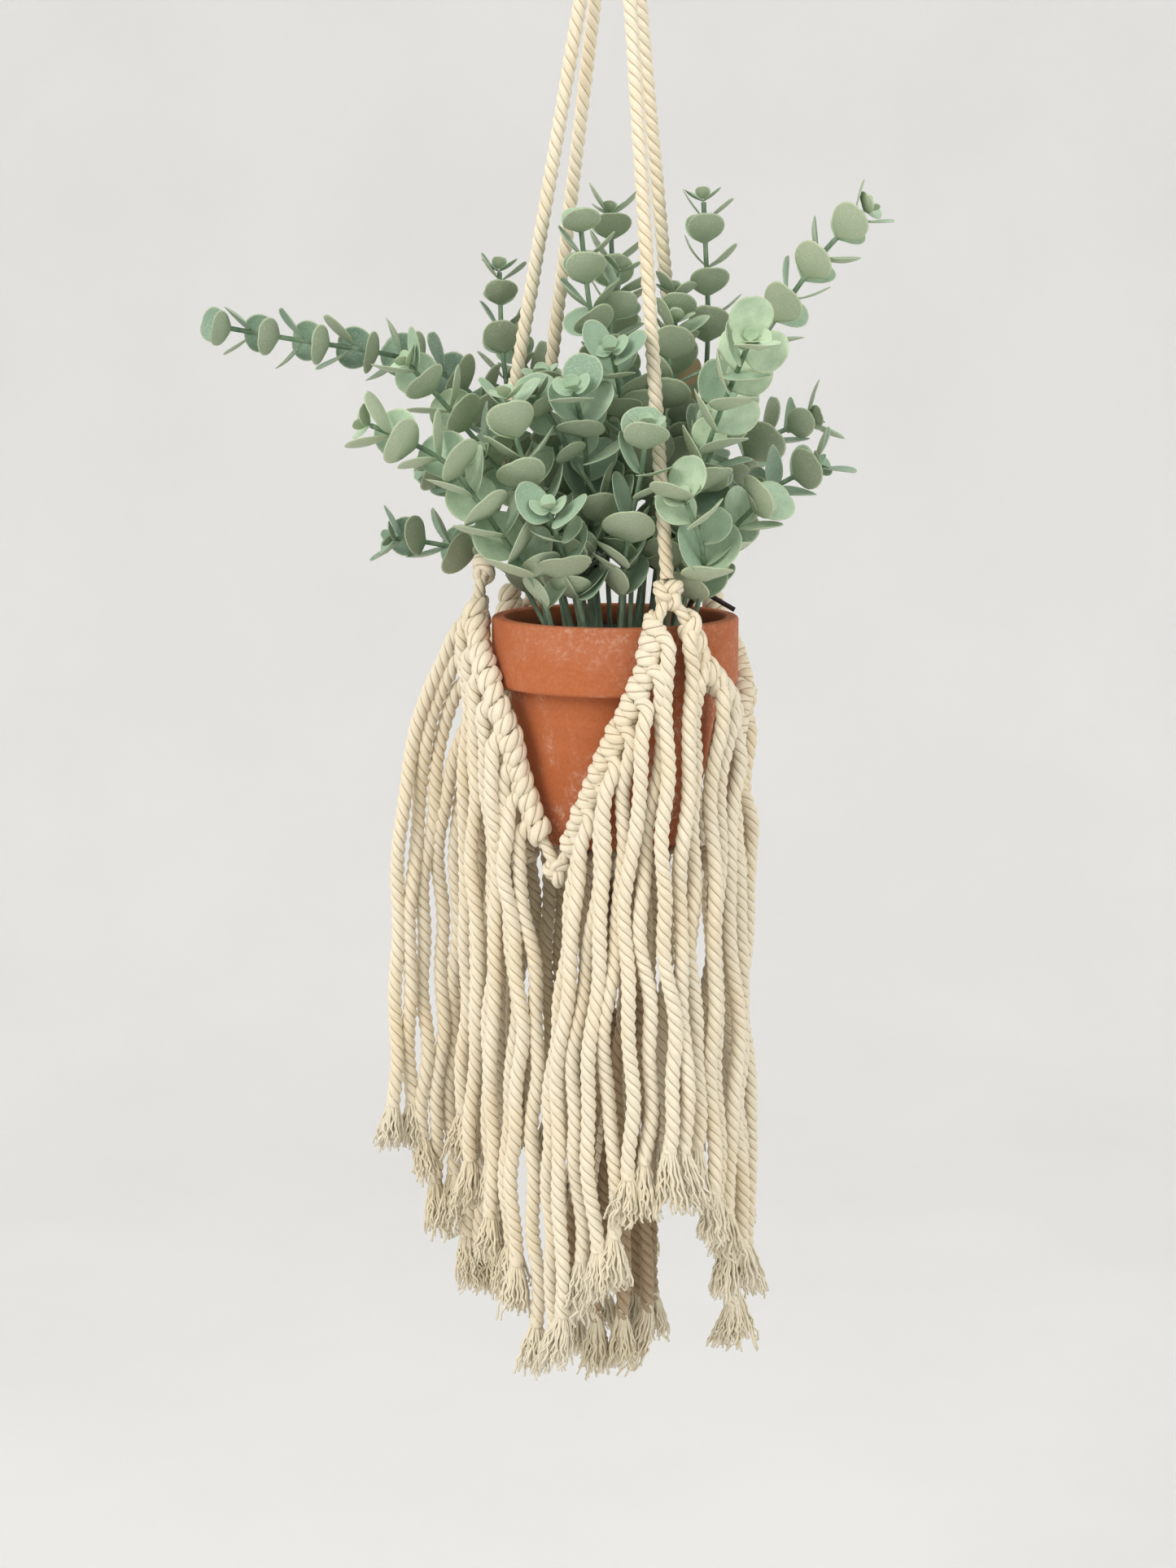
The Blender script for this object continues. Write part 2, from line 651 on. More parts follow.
def rope_material(name, crest, groove, dusk, thread):
    """Laid cotton: fibres along the strands, darker between them, a soft fuzz of light."""
    n = Nodes(name)
    lay, tone = n.attribute("lay"), n.attribute("tone", "Fac")
    fibre = n.noise(lay, 2.6, 3.0, 0.65, (1.0, 1.0, 0.13), 0.4)
    clump = n.noise(lay, 0.9, 2.0, 0.5, (1.0, 1.0, 0.22), 0.2)
    patch = n.noise(n.place(), 22.0, 3.0)
    lint = n.noise(n.place(), 900.0, 2.0)
    deep = n.math("MULTIPLY", tone, n.fit(clump, 0.3, 0.7, 0.82, 1.0))
    between = tuple(a * 0.72 + b * 0.28 for a, b in zip(crest, groove))
    base = n.ramp(n.math("MULTIPLY", deep, 1 / TASSEL_TONE),
                  [(0.0, groove), (0.16, between), (0.41, crest), (0.78, crest), (1.0, thread)])
    streak = n.fit(fibre, 0.30, 0.72, 0.86, 1.07)
    shade = n.mix(1.0, base, streak, "MULTIPLY")
    shade = n.mix(n.fit(patch, 0.42, 0.75, 0.0, 0.5), shade, (*dusk, 1.0), "MULTIPLY")
    shade = n.mix(n.fit(lint, 0.62, 0.8, 0.0, 0.35), shade, (*crest, 1.0))
    strands = n.bump(fibre, 0.55, 0.0006)
    yarns = n.bump(clump, 0.35, 0.0008, strands)
    rough = n.fit(fibre, 0.3, 0.7, 0.78, 0.95)
    return n.finish(shade, rough, yarns, Sheen_Weight=0.35, Sheen_Roughness=0.5,
                    Specular_IOR_Level=0.25, Subsurface_Weight=0.0)


def terracotta_material():
    """Fired clay: soft orange, browner low down, with pale salts in patches and specks."""
    n = Nodes("terracotta")
    here = n.place()
    wide = n.noise(here, 9.0, 3.0, 0.55)
    cloud = n.noise(here, 26.0, 4.0, 0.6, (1, 1, 0.8), 0.6)
    grain = n.noise(here, 700.0, 4.0, 0.7)
    specks = n.noise(here, 330.0, 3.0, 0.75)
    turning = n.noise(here, 5.0, 2.0, 0.5, (1, 1, 55))
    clay = n.ramp(wide, [(0.30, colour(158, 86, 46)), (0.5, colour(180, 99, 56)),
                         (0.72, colour(190, 110, 66))])
    clay = n.mix(n.fit(turning, 0.35, 0.65, 0.0, 0.16), clay, (*colour(150, 76, 44), 1.0))
    clay = n.mix(n.fit(grain, 0.40, 0.75, 0.0, 0.22), clay, (*colour(212, 148, 112), 1.0))
    salt_cloud = n.fit(cloud, 0.44, 0.64)
    salt = n.math("MULTIPLY", salt_cloud, n.fit(specks, 0.49, 0.66))
    below = n.node("ShaderNodeSeparateXYZ", {"Vector": here}).outputs[2]
    in_band = n.math("GREATER_THAN", below, (RIM_Z - POT_RIM_HEIGHT + 1.0) * MM)
    salt = n.math("MULTIPLY", salt, n.fit(in_band, 0.0, 1.0, 1.0, 0.4))
    clay = n.mix(n.math("MULTIPLY", salt_cloud, 0.14), clay, (*colour(214, 158, 132), 1.0))
    clay = n.mix(n.math("MULTIPLY", salt, 0.62), clay, (*colour(234, 208, 190), 1.0))
    flat = n.node("ShaderNodeVectorMath", {0: here, 1: (1.0, 1.0, 0.0)}, operation="MULTIPLY")
    reach = n.node("ShaderNodeVectorMath", {0: flat.outputs[0]}, operation="LENGTH").outputs[1]
    inside = n.fit(reach, POT_MOUTH_R * MM, (POT_MOUTH_R - 2.5) * MM)
    damp = n.fit(below, (RIM_Z - 1.0) * MM, (RIM_Z - 5.0) * MM)
    damp = n.math("MULTIPLY", damp, in_band)
    clay = n.mix(n.math("MULTIPLY", inside, damp), clay, (*colour(62, 36, 26), 1.0))
    pores = n.bump(grain, 0.30, 0.0003)
    rings = n.bump(turning, 0.16, 0.0005, pores)
    return n.finish(clay, n.fit(specks, 0.3, 0.7, 0.74, 0.92), rings, Specular_IOR_Level=0.3)


def leaf_material():
    """A matte round leaf: pale rim, fine veins from its foot, mottled with a waxy bloom."""
    n = Nodes("leaf")
    shape, tone = n.attribute("lay"), n.attribute("tone", "Fac")
    split = n.node("ShaderNodeSeparateXYZ", {"Vector": shape})
    angle, reach, side = split.outputs
    rim = n.math("ABSOLUTE", side)
    fan = n.node("ShaderNodeCombineXYZ", {
        "X": n.math("MULTIPLY", angle, 5.2),
        "Y": n.math("MULTIPLY", reach, 0.55),
    }).outputs[0]
    veins = n.noise(fan, 2.4, 3.0, 0.6, (1, 1, 1), 0.5)
    mottle = n.noise(n.place(), 170.0, 4.0, 0.62)
    dust = n.noise(n.place(), 900.0, 3.0, 0.7)
    green = n.ramp(tone, [(0.0, colour(116, 142, 124)), (0.35, colour(150, 178, 154)),
                          (0.65, colour(178, 204, 176)), (1.0, colour(202, 222, 190))])
    green = n.mix(n.fit(mottle, 0.38, 0.66, 0.0, 0.42), green, (*colour(138, 164, 140), 1.0))
    under = n.math("LESS_THAN", side, 0.0)
    green = n.mix(n.math("MULTIPLY", under, 0.7), green, (*colour(164, 170, 142), 1.0))
    green = n.mix(n.fit(veins, 0.52, 0.66, 0.0, 0.34), green, (*colour(206, 220, 190), 1.0))
    bloom = n.math("MULTIPLY", n.fit(dust, 0.5, 0.75), n.fit(mottle, 0.45, 0.75, 0.0, 0.55))
    green = n.mix(bloom, green, (*colour(214, 226, 208), 1.0))
    green = n.mix(n.fit(rim, 0.93, 1.0, 0.0, 0.65), green, (*colour(208, 218, 176), 1.0))
    ribs = n.bump(veins, 0.4, 0.0005)
    skin = n.bump(mottle, 0.25, 0.0005, ribs)
    return n.finish(green, n.fit(mottle, 0.3, 0.7, 0.5, 0.68), skin, Specular_IOR_Level=0.35)


def stem_material():
    """A wrapped wire stem: dusty green with darker streaks, rough."""
    n = Nodes("stem")
    here = n.place()
    streak = n.noise(here, 260.0, 4.0, 0.65, (1, 1, 0.25))
    patch = n.noise(here, 60.0, 3.0)
    base = n.ramp(streak, [(0.32, colour(88, 112, 92)), (0.5, colour(118, 142, 116)),
                           (0.7, colour(148, 170, 142))])
    base = n.mix(n.fit(patch, 0.45, 0.7, 0.0, 0.45), base, (*colour(104, 118, 92), 1.0))
    return n.finish(base, 0.62, n.bump(streak, 0.6, 0.0005))


def wood_material(name, pale, dark, along):
    """Fine straight grain along one axis, with a few darker lines."""
    n = Nodes(name)
    here = n.place()
    stretch = [1.0, 1.0, 1.0]
    stretch[along] = 0.06
    grain = n.noise(here, 520.0, 5.0, 0.65, tuple(stretch), 0.3)
    broad = n.noise(here, 120.0, 3.0, 0.5, tuple(stretch), 0.6)
    base = n.ramp(broad, [(0.30, dark), (0.52, pale), (0.75, tuple(min(1, c * 1.12) for c in pale))])
    base = n.mix(n.fit(grain, 0.52, 0.72, 0.0, 0.42), base, (*dark, 1.0))
    return n.finish(base, n.fit(grain, 0.3, 0.7, 0.5, 0.66), n.bump(grain, 0.35, 0.0003))


def plain_material(name, stops, scale, rough, depth=0.0006):
    """A rough surface whose colour wanders through the stops."""
    n = Nodes(name)
    here = n.place()
    cells = n.noise(here, scale, 5.0, 0.65)
    return n.finish(n.ramp(cells, stops), rough, n.bump(cells, 0.6, depth))


# ---- Rope work ----
def rope_finish(piece, *nodes):
    """The piece stands for those nodes of the design."""
    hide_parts(*nodes)
    return piece


def make_legs(cotton):
    """The four taut legs."""
    for seed, leg in enumerate(LEG_AZIMUTHS):
        line = smooth_line(leg_points(leg))
        surface = Surface()
        add_rope(surface, line, 100 + seed)
        piece = surface.piece(f"leg_rope_{leg}", cotton, "hanger", "cotton_rope")
        rope_finish(piece, f"leg_{leg}")


def knot_line(centre, side, rise, size, depth, turn=0.0):
    """A closed overhand knot about a centre, lying in the plane of side and rise."""
    t = np.linspace(0.0, 2 * math.pi * 1.02, 150) + turn
    flat_x = (np.sin(t) + 2 * np.sin(2 * t)) / 3 * size
    flat_y = (np.cos(t) - 2 * np.cos(2 * t)) / 3 * size
    lift = -np.sin(3 * t) * depth
    out = np.cross(side, rise)
    return centre + side * flat_x[:, None] + rise * flat_y[:, None] + out * lift[:, None]


def make_knots(cotton):
    """The knots at the legs' feet, in the valleys and under the pot."""
    places = [
        (f"leg_knot_{leg}", azimuth, polar(azimuth, KNOT_ORBIT_R, KNOT_HEIGHTS[leg]), KNOT_R)
        for leg, azimuth in LEG_AZIMUTHS.items()
    ]
    places += [
        (f"valley_knot_{valley}", azimuth, polar(azimuth, VALLEY_ORBIT_R, VALLEY_Z), VALLEY_KNOT_R)
        for valley, azimuth in VALLEYS.items()
    ]
    for seed, (node, azimuth, centre, radius) in enumerate(places):
        side = polar(azimuth + 90, 1, 0) - polar(0, 0, 0)
        surface = Surface()
        line = knot_line(centre, side, UP, radius - 1.5, 2.5, 0.7 * seed)
        add_rope(surface, evenly(line, RING_STEP), 200 + seed, 2.6)
        rope_finish(surface.piece(f"tied_{node}", cotton, "hanger", "cotton_rope"), node)


def make_base_knot(cotton):
    """The big knot under the pot, of two ropes tied through each other."""
    centre = polar(0, 0, BASE_KNOT_Z)
    surface = Surface()
    east, north = np.array([1.0, 0.0, 0.0]), np.array([0.0, 1.0, 0.0])
    for seed, (side, rise) in enumerate(((east, north), (east, UP), (north, UP))):
        line = knot_line(centre, side, rise, BASE_KNOT_R - 2.6, 3.2, seed)
        add_rope(surface, evenly(line, RING_STEP), 230 + seed)
    rope_finish(surface.piece("tied_base_knot", cotton, "hanger", "cotton_rope"), "base_knot")


HITCH_START = 170.0
HITCH_SWEEP = 640.0


def make_row(row, cotton, seed):
    """The holding cord of a row and the hitches of its eight ropes."""
    leg, valley = ROWS[row][:2]
    knot = polar(LEG_AZIMUTHS[leg], KNOT_ORBIT_R, KNOT_HEIGHTS[leg])
    low = polar(VALLEYS[valley], VALLEY_ORBIT_R, VALLEY_Z)
    surface = Surface()
    add_rope(surface, smooth_line([knot, *row_points(row), low]), 300 + seed, 2.4)
    body = smooth_line(row_points(row), 0.5)
    tangents = directions(body)[0]
    chance = random.Random(40 + seed)
    for number in range(ROPES_PER_ROW):
        turn = np.radians(np.linspace(HITCH_START, HITCH_START + HITCH_SWEEP, 62))
        share = (number + 0.5 + 0.97 * (np.linspace(0, 1, 62) - 0.5)) / ROPES_PER_ROW
        index = share * (len(body) - 1)
        centre = np.stack([np.interp(index, np.arange(len(body)), body[:, k]) for k in range(3)], 1)
        along = np.stack(
            [np.interp(index, np.arange(len(body)), tangents[:, k]) for k in range(3)], 1)
        radial = centre * [1, 1, 0]
        radial = radial - along * np.sum(radial * along, axis=1)[:, None]
        radial /= np.linalg.norm(radial, axis=1)[:, None]
        lower = np.cross(radial, along)
        lower *= -np.sign(lower[:, 2:3])
        reach = ROW_R - ROPE_R * HITCH_RADIAL
        reach = reach + chance.uniform(-0.25, 0.45) + 0.35 * np.sin(turn * 0.5 + chance.uniform(0, 6))
        out = radial * np.cos(turn)[:, None] + lower * np.sin(turn)[:, None]
        line = centre + out * reach[:, None]
        add_rope(surface, line, 400 + 10 * seed + number, ROPE_R, out, (HITCH_RADIAL, HITCH_AXIAL))
    rope_finish(surface.piece(f"hitched_{row}", cotton, "hanger", "cotton_rope"), f"row_{row}")


def visible_fringe(row, number):
    """The route of a fringe rope as it shows: from inside its hitch, then as designed."""
    centre, along, outward, lower = row_place(row, number)
    inside = centre + outward * 2.2 + lower * 1.0
    mouth = centre + outward * 5.8 + lower * 5.5
    return [inside, mouth, *fringe_points(row, number)[1:]]


def make_fringe(row, cotton, seed):
    """Eight ropes with frayed ends; those that reach furthest are pieces of their own."""
    together = Surface()
    declared = set(DECLARED_NUMBERS)
    if row in DECLARED_MORE:
        declared.add(DECLARED_MORE[row])
    for number in range(ROPES_PER_ROW):
        rope_seed = 1000 + 20 * seed + number
        line = wandered(smooth_line(visible_fringe(row, number)), rope_seed)
        if number not in declared:
            add_rope(together, line, rope_seed, ROPE_R * FRINGE_SWELL)
            add_tassel(together, line, rope_seed)
            continue
        rope, frayed = Surface(), Surface()
        add_rope(rope, line, rope_seed, ROPE_R * FRINGE_SWELL)
        add_tassel(frayed, line, rope_seed)
        end = frayed.piece(f"frayed_{row}_{number}", cotton, "hanger", "cotton_rope")
        piece = rope.piece(f"fringe_rope_{row}_{number}", cotton, "hanger", "cotton_rope")
        rope_finish(piece, f"fringe_{row}")
    piece = together.piece(f"fringe_ropes_{row}", cotton, "hanger", "cotton_rope")
    rope_finish(piece, f"fringe_{row}")


def make_cradle(cotton):
    """The ropes that run in under the pot, and those that hang from the base knot."""
    surface = Surface()
    for number, valley in enumerate(VALLEYS):
        for side in (-1, 1):
            line = smooth_line(cradle_points(valley, side))
            add_rope(surface, line, 500 + 2 * number + (side > 0), shade=DUSKY)
    rope_finish(surface.piece("cradle_strands", cotton, "hanger", "cotton_rope"), "cradle_ropes")
    for number in range(TAILS):
        line = wandered(smooth_line(tail_points(number)), 520 + number)
        rope, frayed = Surface(), Surface()
        add_rope(rope, line, 520 + number, shade=DUSKY)
        add_tassel(frayed, line, 520 + number)
        end = frayed.piece(f"frayed_tail_{number}", cotton, "hanger", "cotton_rope")
        piece = rope.piece(f"tail_rope_{number}", cotton, "hanger", "cotton_rope")
        rope_finish(piece, "tail_ropes")


def make_wrap(cotton):
    """The thinner cord wound round the legs, seven and a half turns."""
    turn = np.linspace(0, 2 * math.pi * 7.5, 420)
    reach = WRAP_OUTER_R - 2.0
    height = WRAP_TOP_Z - 2.0 - (WRAP_HEIGHT - 4.0) * turn / turn[-1]
    line = np.stack([reach * np.sin(turn), -reach * np.cos(turn), height], axis=1)
    out = np.stack([np.sin(turn), -np.cos(turn), 0 * turn], axis=1)
    surface = Surface()
    add_rope(surface, evenly(line, RING_STEP), 600, 2.0, None, (1, 1), 8.0)
    rope_finish(surface.piece("wound_cord", cotton, "hanger", "cotton_rope"), "gather_wrap")


def ring_place(angle, turn, reach):
    """A point about the ring's tube: turn 0 is outward of the ring and 90 its front."""
    lean, round_tube = math.radians(angle), math.radians(turn)
    across = np.array([math.sin(lean), 0.0, -math.cos(lean)])
    centre = np.array([0.0, 0.0, RING_CENTRE_Z]) + across * RING_MEAN_R
    front = np.array([0.0, -1.0, 0.0])
    return centre + (across * math.cos(round_tube) + front * math.sin(round_tube)) * reach


def make_larks_heads(cotton):
    """The two folded ropes' knots on the ring, down to where the wrap takes them."""
    loop = RING_TUBE_R + ROPE_R + 0.75
    heads = {"left": (-27, -10, "left", "back"), "right": (27, 10, "right", "front")}
    for seed, (name, (outer, inner, outer_leg, inner_leg)) in enumerate(heads.items()):
        points = []
        for angle, leg in ((outer, outer_leg), (inner, inner_leg)):
            foot = polar(BUNDLE_AZIMUTHS[leg], BUNDLE_R, -66.0 - RIM_Z)
            neck = polar(BUNDLE_AZIMUTHS[leg], BUNDLE_R, -58.0 - RIM_Z)
            half = [foot, neck, ring_place(angle, -22, loop + 1.5)]
            half += [ring_place(angle, turn, loop) for turn in (-62, -100, -140, 180, 140, 100, 62)]
            points += half if not points else half[::-1]
        points.insert(len(points) // 2, ring_place((outer + inner) / 2, 34, loop + 1.8))
        surface = Surface()
        add_rope(surface, smooth_line(points), 620 + seed)
        piece = surface.piece(f"larks_head_{name}", cotton, None, "cotton_rope")
        rope_finish(piece, "ring_hitches")
        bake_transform(piece)


# ---- The plant ----
LEAF_RINGS = (0.0, 0.25, 0.5, 0.72, 0.9, 1.0)
LEAF_SECTORS = 24
LEAF_SIZES = (1.1, 1.0, 0.9, 0.8, 0.7, 0.6)
LIFTS = range(0, 43, 3)
LEG_ROOM = 4.2
RIM_ROOM_R = 46.0
RIM_ROOM_TOP = 2.0
LOW_LEAF_HEIGHTS = (9, 22)
LOW_LEAF_BAND = 3.0
UNDERSIDE = np.array([1.0, 1.0, -1.0])
PICK_TONES = {
    "left_far": 0.16, "left_front": 0.74, "left_low": 0.14, "centre": 0.50, "back_top": 0.48,
    "right_tall": 0.42, "right_long": 0.66, "right_front": 0.90, "right_low": 0.30, "front": 0.62,
}


def shells(node):
    """The separate closed bodies of a design node, each as its points."""
    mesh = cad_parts[node].data
    points = np.array([v.co for v in mesh.vertices]) / MM
    keys = np.round(points, 3)
    unique, index = np.unique(keys, axis=0, return_inverse=True)
    index = index.ravel()
    parent = np.arange(len(unique))

    def root(i):
        while parent[i] != i:
            parent[i] = parent[parent[i]]
            i = parent[i]
        return i

    for face in mesh.polygons:
        corners = [root(index[i]) for i in face.vertices]
        for other in corners[1:]:
            parent[root(other)] = root(corners[0])
    groups = {}
    for i in range(len(unique)):
        groups.setdefault(root(i), []).append(i)
    return [unique[members] for members in groups.values()]


def disc_of(points):
    """The centre, radius and face direction of a thin round body."""
    centre = points.mean(axis=0)
    _, _, axes = np.linalg.svd(points - centre, full_matrices=False)
    normal = axes[2]
    flat = (points - centre) - np.outer((points - centre) @ normal, normal)
    return centre, float(np.linalg.norm(flat, axis=1).max()), normal


def add_leaf(surface, centre, radius, normal, along, tone, chance):
    """A round leaf with a short foot, cupped and a little wavy, as a thin closed shell."""
    across = np.cross(normal, along)
    cup, wave = chance.uniform(0.05, 0.20), chance.uniform(0.02, 0.07)
    fold, seed = chance.uniform(0.0, 0.10), chance.uniform(0, 6.28)
    turn = np.arange(LEAF_SECTORS) * 2 * math.pi / LEAF_SECTORS
    away = (turn + math.pi) % (2 * math.pi) - math.pi
    outline = 1 - 0.035 * np.cos(2 * turn) + 0.016 * np.sin(3 * turn + seed)
    outline = outline - 0.05 * np.exp(-((away / 0.22) ** 2))
    foot = turn - math.pi
    outline = outline + 0.17 * np.exp(-((foot / 0.26) ** 2))
    share = np.array(LEAF_RINGS)[1:, None]
    x = np.concatenate([[0.0], (share * outline * np.cos(turn)).ravel()]) * radius
    y = np.concatenate([[0.0], (share * outline * np.sin(turn)).ravel()]) * radius
    ring = np.concatenate([[0.0], (share + 0 * outline).ravel()])
    around = np.concatenate([[0.0], (0 * share + turn).ravel()])
    height = radius * (cup * ring**2 + wave * ring**2 * np.sin(2 * around + seed))
    height = height + np.abs(y) * fold - 0.5 * radius * cup
    thick = 0.26 - 0.14 * ring
    flat = centre + np.outer(x, along) + np.outer(y, across)
    top = flat + np.outer(height + thick, normal)
    bottom = flat + np.outer(height - thick, normal)
    count = len(x)
    quads, triangles = [], []
    for side, base in enumerate((0, count)):
        for sector in range(LEAF_SECTORS):
            after = (sector + 1) % LEAF_SECTORS
            first = [base, base + 1 + sector, base + 1 + after]
            triangles.append(first if side == 0 else first[::-1])
            for level in range(len(LEAF_RINGS) - 2):
                low = base + 1 + level * LEAF_SECTORS
                high = low + LEAF_SECTORS
                face = [low + sector, high + sector, high + after, low + after]
                quads.append(face if side == 0 else face[::-1])
    rim = 1 + (len(LEAF_RINGS) - 2) * LEAF_SECTORS
    for sector in range(LEAF_SECTORS):
        after = (sector + 1) % LEAF_SECTORS
        quads.append([rim + sector, count + rim + sector, count + rim + after, rim + after])
    foot_x = x + radius * 1.15
    vein = np.arctan2(y, foot_x) + seed * 9
    reach = np.hypot(y, foot_x)
    lay = np.stack([vein, reach, ring + 0.01], axis=1)
    surface.add(np.concatenate([top, bottom]), quads, triangles,
                np.concatenate([lay, lay * UNDERSIDE]), np.full(2 * count, tone))


def leg_lines():
    """The straight stretch of each leg, from the wrap to its knot."""
    return [leg_points(leg)[1:4:2] for leg in LEG_AZIMUTHS]


def leaf_clear(centre, radius, normal, along):
    """Whether a leaf is clear of the legs and the pot's rim, however far the plant is lifted."""
    across = np.cross(normal, along)
    turn = np.arange(LEAF_SECTORS) * 2 * math.pi / LEAF_SECTORS
    ring = np.outer(np.cos(turn), along) + np.outer(np.sin(turn), across)
    spots = centre + np.concatenate([ring * radius, ring * radius * 0.5])
    reach = np.hypot(spots[:, 0], spots[:, 1])
    if np.any((reach > RIM_ROOM_R) & (spots[:, 2] < RIM_Z + RIM_ROOM_TOP)):
        return False
    raised = spots[None] + np.array(LIFTS)[:, None, None] * UP
    for a, b in leg_lines():
        run = b - a
        share = np.clip((raised - a) @ run / run.dot(run), 0, 1)
        gaps = np.linalg.norm(raised - a - share[..., None] * run, axis=2)
        if gaps.min() < LEG_ROOM:
            return False
    return True


def add_clear_leaf(surface, foot, radius, normal, along, tone, chance):
    """A leaf from its foot, as large as stays clear of the legs."""
    for size in LEAF_SIZES:
        centre = foot + along * radius * size
        if leaf_clear(centre, radius * size, normal, along):
            add_leaf(surface, centre, radius * size, normal, along, tone, chance)
            return


def low_leaves(surface, stem, pick, chance):
    """A pair or two of leaves low on a stem, where the design leaves it bare."""
    for height in LOW_LEAF_HEIGHTS:
        level = RIM_Z + height + chance.uniform(-3, 3)
        near = stem[np.abs(stem[:, 2] - level) < LOW_LEAF_BAND]
        if len(near) < 3:
            continue
        node = near.mean(axis=0)
        first = chance.uniform(0, 2 * math.pi)
        for half in range(2):
            turn = first + math.pi * half
            out = np.array([math.cos(turn), math.sin(turn), 0.0])
            rise = math.radians(chance.uniform(30, 62))
            along = out * math.cos(rise) + UP * math.sin(rise)
            normal = UP * math.cos(rise) - out * math.sin(rise)
            tone = PICK_TONES[pick] + chance.normal(-0.05, 0.12)
            radius = chance.uniform(7.5, 9.5)
            add_clear_leaf(surface, node + along * 1.2, radius, normal, along, tone, chance)


def make_leaves(pick, leaf, seed):
    """The leaves of one pick, on the design's round plates, and small ones at the tips."""
    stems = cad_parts[f"pick_{pick}_stems"]
    corners = [v.co / MM for v in stems.data.vertices]
    tree = BVHTree.FromPolygons(corners, [tuple(p.vertices) for p in stems.data.polygons])
    heart = np.array([0.0, 0.0, RIM_Z + FOAM_TOP])
    chance = np.random.default_rng(700 + seed)
    surface = Surface()
    for points in shells(f"pick_{pick}_leaves"):
        centre, radius, normal = disc_of(points)
        if normal.dot(centre - heart) < 0:
            normal = -normal
        near = np.array(tree.find_nearest(Vector(centre))[0])
        along = centre - near
        along = unit(along - normal * along.dot(normal))
        tone = PICK_TONES[pick] + chance.normal(0, 0.13)
        foot = centre - along * radius
        add_clear_leaf(surface, foot, radius, normal, along, tone, chance)
    for points in shells(f"pick_{pick}_stems"):
        low_leaves(surface, points, pick, chance)
        tip = points[np.argmax(np.linalg.norm(points - heart, axis=1))]
        near_tip = points[np.linalg.norm(points - tip, axis=1) < 2.4].mean(axis=0)
        back = points[np.argsort(np.linalg.norm(points - tip, axis=1))[:60]].mean(axis=0)
        growth = unit(near_tip - back)
        side = unit(np.cross(growth, [0.3, 0.5, 0.8]))
        other = np.cross(growth, side)
        for pair, (size, lift) in enumerate(((4.4, 34), (2.8, 58))):
            for half in range(2):
                turn = math.pi * (half + 0.5 * pair) + 0.4
                out = side * math.cos(turn) + other * math.sin(turn)
                rise = math.radians(lift)
                along = out * math.cos(rise) + growth * math.sin(rise)
                normal = growth * math.cos(rise) - out * math.sin(rise)
                place = near_tip + growth * pair * 1.2 + along * (size + 0.6)
                tone = PICK_TONES[pick] + 0.12
                foot = place - along * size
                add_clear_leaf(surface, foot, size, normal, along, tone, chance)
    piece = surface.piece(f"leaves_{pick}", leaf, "plant", "leaf_green")
    rope_finish(piece, f"pick_{pick}_leaves")


# ---- The room ----
def make_camera():
    """The camera: a little left of the planter's axis and above its rim, looking down."""
    camera = bpy.data.cameras.new("camera")
    camera.sensor_fit = "VERTICAL"
    camera.sensor_height = 36.0
    camera.lens = 60.0
    camera.clip_end = 50.0
    holder = bpy.data.objects.new("camera", camera)
    holder.location = (-0.0121, -1.1617, -0.2998)
    holder.rotation_euler = (math.radians(80.2), 0.0, 0.0)
    bpy.context.scene.collection.objects.link(holder)
    bpy.context.scene.camera = holder


def make_lamp(name, place, size, power, tint):
    """A soft square lamp that looks at the middle of the planter."""
    light = bpy.data.lights.new(name, "AREA")
    light.energy = power
    light.size = size
    light.color = tint
    holder = bpy.data.objects.new(name, light)
    holder.location = place
    aim = Vector((0.0, 0.0, -0.42)) - Vector(place)
    holder.rotation_euler = aim.to_track_quat("-Z", "Y").to_euler()
    bpy.context.scene.collection.objects.link(holder)


STUDIO_R = 3.4
STUDIO_FLOOR_Z = -1.35
STUDIO_CURVE_R = 1.3
STUDIO_HEIGHT = 3.2


def make_studio():
    """A plain pale floor that curves up into a wall all round."""
    profile = [(0.0, STUDIO_FLOOR_Z)]
    for step in range(17):
        turn = math.pi / 2 * step / 16
        profile.append((STUDIO_R - STUDIO_CURVE_R + STUDIO_CURVE_R * math.sin(turn),
                        STUDIO_FLOOR_Z + STUDIO_CURVE_R * (1 - math.cos(turn))))
    profile.append((STUDIO_R, STUDIO_FLOOR_Z + STUDIO_HEIGHT))
    count = 96
    turn = np.arange(count) * 2 * math.pi / count
    rings = [np.stack([r * np.cos(turn), r * np.sin(turn), 0 * turn + z], axis=1)
             for r, z in profile[1:]]
    vertices = [(0.0, 0.0, STUDIO_FLOOR_Z)] + [tuple(p) for ring in rings for p in ring]
    faces = [(0, 1 + i, 1 + (i + 1) % count) for i in range(count)]
    for level in range(len(rings) - 1):
        low, high = 1 + level * count, 1 + (level + 1) * count
        faces += [(low + i, high + i, high + (i + 1) % count, low + (i + 1) % count)
                  for i in range(count)]
    mesh = bpy.data.meshes.new("studio")
    mesh.from_pydata(vertices, [], faces)
    mesh.polygons.foreach_set("use_smooth", np.ones(len(faces), bool))
    n = Nodes("studio_paper")
    paper = n.noise(n.place(), 3.0, 3.0)
    tint = n.ramp(paper, [(0.3, (0.80, 0.80, 0.795)), (0.7, (0.83, 0.83, 0.825))])
    mesh.materials.append(n.finish(tint, 0.9, None, Specular_IOR_Level=0.1))
    studio = bpy.data.objects.new("studio", mesh)
    bpy.context.scene.collection.objects.link(studio)


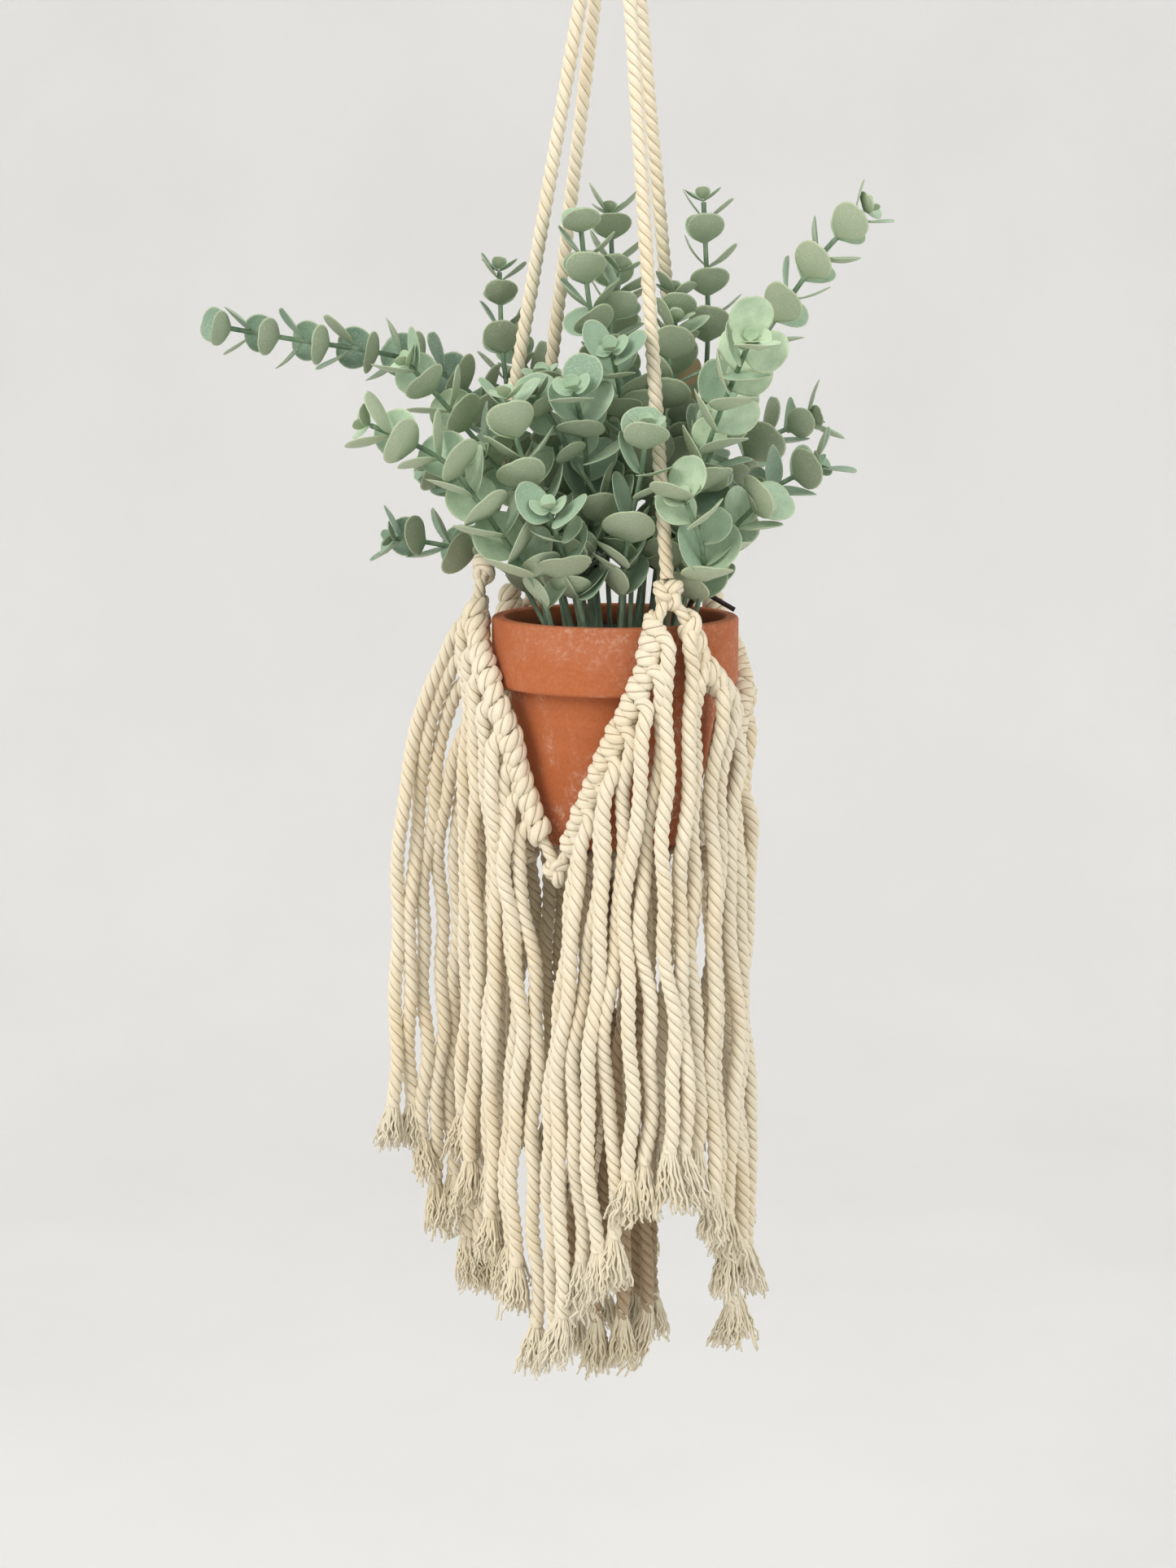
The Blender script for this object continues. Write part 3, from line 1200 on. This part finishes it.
def make_light():
    """Soft daylight from all round, with a broad lamp from the front left and above."""
    world = bpy.data.worlds.new("world")
    world.use_nodes = True
    background = world.node_tree.nodes["Background"]
    background.inputs["Color"].default_value = (1.0, 0.99, 0.97, 1.0)
    background.inputs["Strength"].default_value = 1.0
    bpy.context.scene.world = world
    make_lamp("key_lamp", (-1.3, -1.5, 0.9), 1.2, 26.0, (1.0, 0.97, 0.92))
    make_lamp("fill_lamp", (1.5, -1.2, 0.2), 1.4, 9.0, (0.95, 0.97, 1.0))
    bpy.context.scene.view_settings.view_transform = "Standard"


def dress(node, material):
    """A design node that keeps its shape gets its material."""
    node_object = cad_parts[node]
    node_object.data.materials.clear()
    node_object.data.materials.append(material)


def make_hard_parts():
    """The pot, ring, foam, marker, twig and stems, whose shapes stay as designed."""
    dress("pot", terracotta_material())
    beech = (colour(206, 170, 128), colour(170, 128, 88))
    dress("hanging_ring", wood_material("turned_ring", *beech, 0))
    birch = (colour(224, 194, 158), colour(196, 158, 120))
    dress("plant_marker", wood_material("marker_stick", *birch, 2))
    moss = [(0.3, colour(26, 30, 22)), (0.55, colour(44, 48, 34)), (0.75, colour(74, 72, 50))]
    dress("foam_plug", plain_material("foam", moss, 420.0, 0.95, 0.002))
    bark = [(0.3, colour(34, 22, 20)), (0.6, colour(58, 36, 30)), (0.8, colour(84, 56, 46))]
    dress("bare_twig", plain_material("bark", bark, 600.0, 0.7))
    stem = stem_material()
    for pick in PICK_TONES:
        dress(f"pick_{pick}_stems", stem)


def main():
    """Camera and cords first, then everything else."""
    make_camera()
    cotton = rope_material(
        "cotton", colour(248, 237, 212), colour(150, 118, 80), colour(248, 236, 212),
        colour(255, 246, 218))
    make_legs(cotton)
    for seed, row in enumerate(ROWS):
        make_fringe(row, cotton, seed)
        make_row(row, cotton, seed)
    make_cradle(cotton)
    make_knots(cotton)
    make_base_knot(cotton)
    make_wrap(cotton)
    make_larks_heads(cotton)
    make_hard_parts()
    leaf = leaf_material()
    for seed, pick in enumerate(PICK_TONES):
        make_leaves(pick, leaf, seed)
    make_studio()
    make_light()


main()
